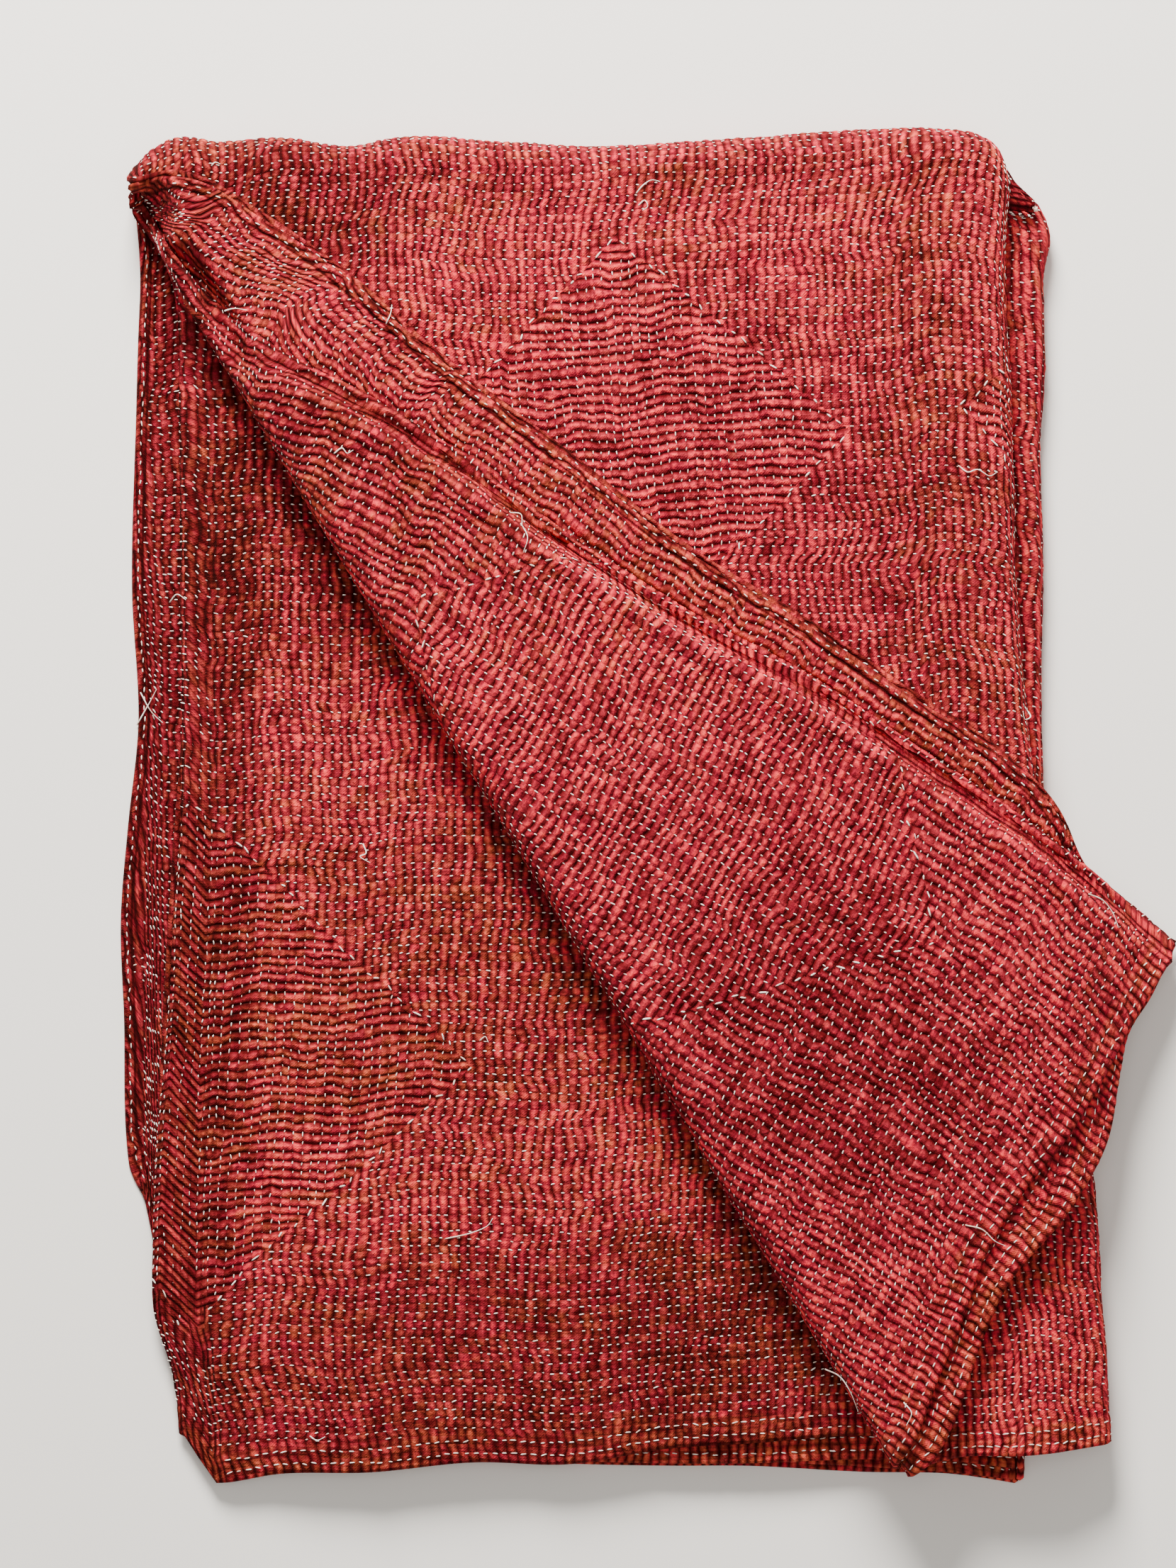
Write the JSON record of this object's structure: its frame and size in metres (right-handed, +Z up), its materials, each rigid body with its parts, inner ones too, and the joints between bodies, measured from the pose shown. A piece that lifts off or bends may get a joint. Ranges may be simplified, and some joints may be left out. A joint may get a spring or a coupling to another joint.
{
  "type": "folded throw blanket",
  "caption": "Hand-quilted cotton throw, folded into a flat pile, with one lower corner of the upper layers turned back over a diagonal.",
  "frame": {"origin": "on the floor, under the middle of the folded throw", "axes": "+Z up from the floor, +Y towards the cross fold at the head, +X towards the side fold"},
  "size_m": [0.5156, 0.6608, 0.0487],
  "materials": {
    "quilted_cotton": "matt, puckered cotton with running stitch"
  },
  "bodies": {
    "root": {"throw": "quilted_cotton"}
  },
  "joints": []
}
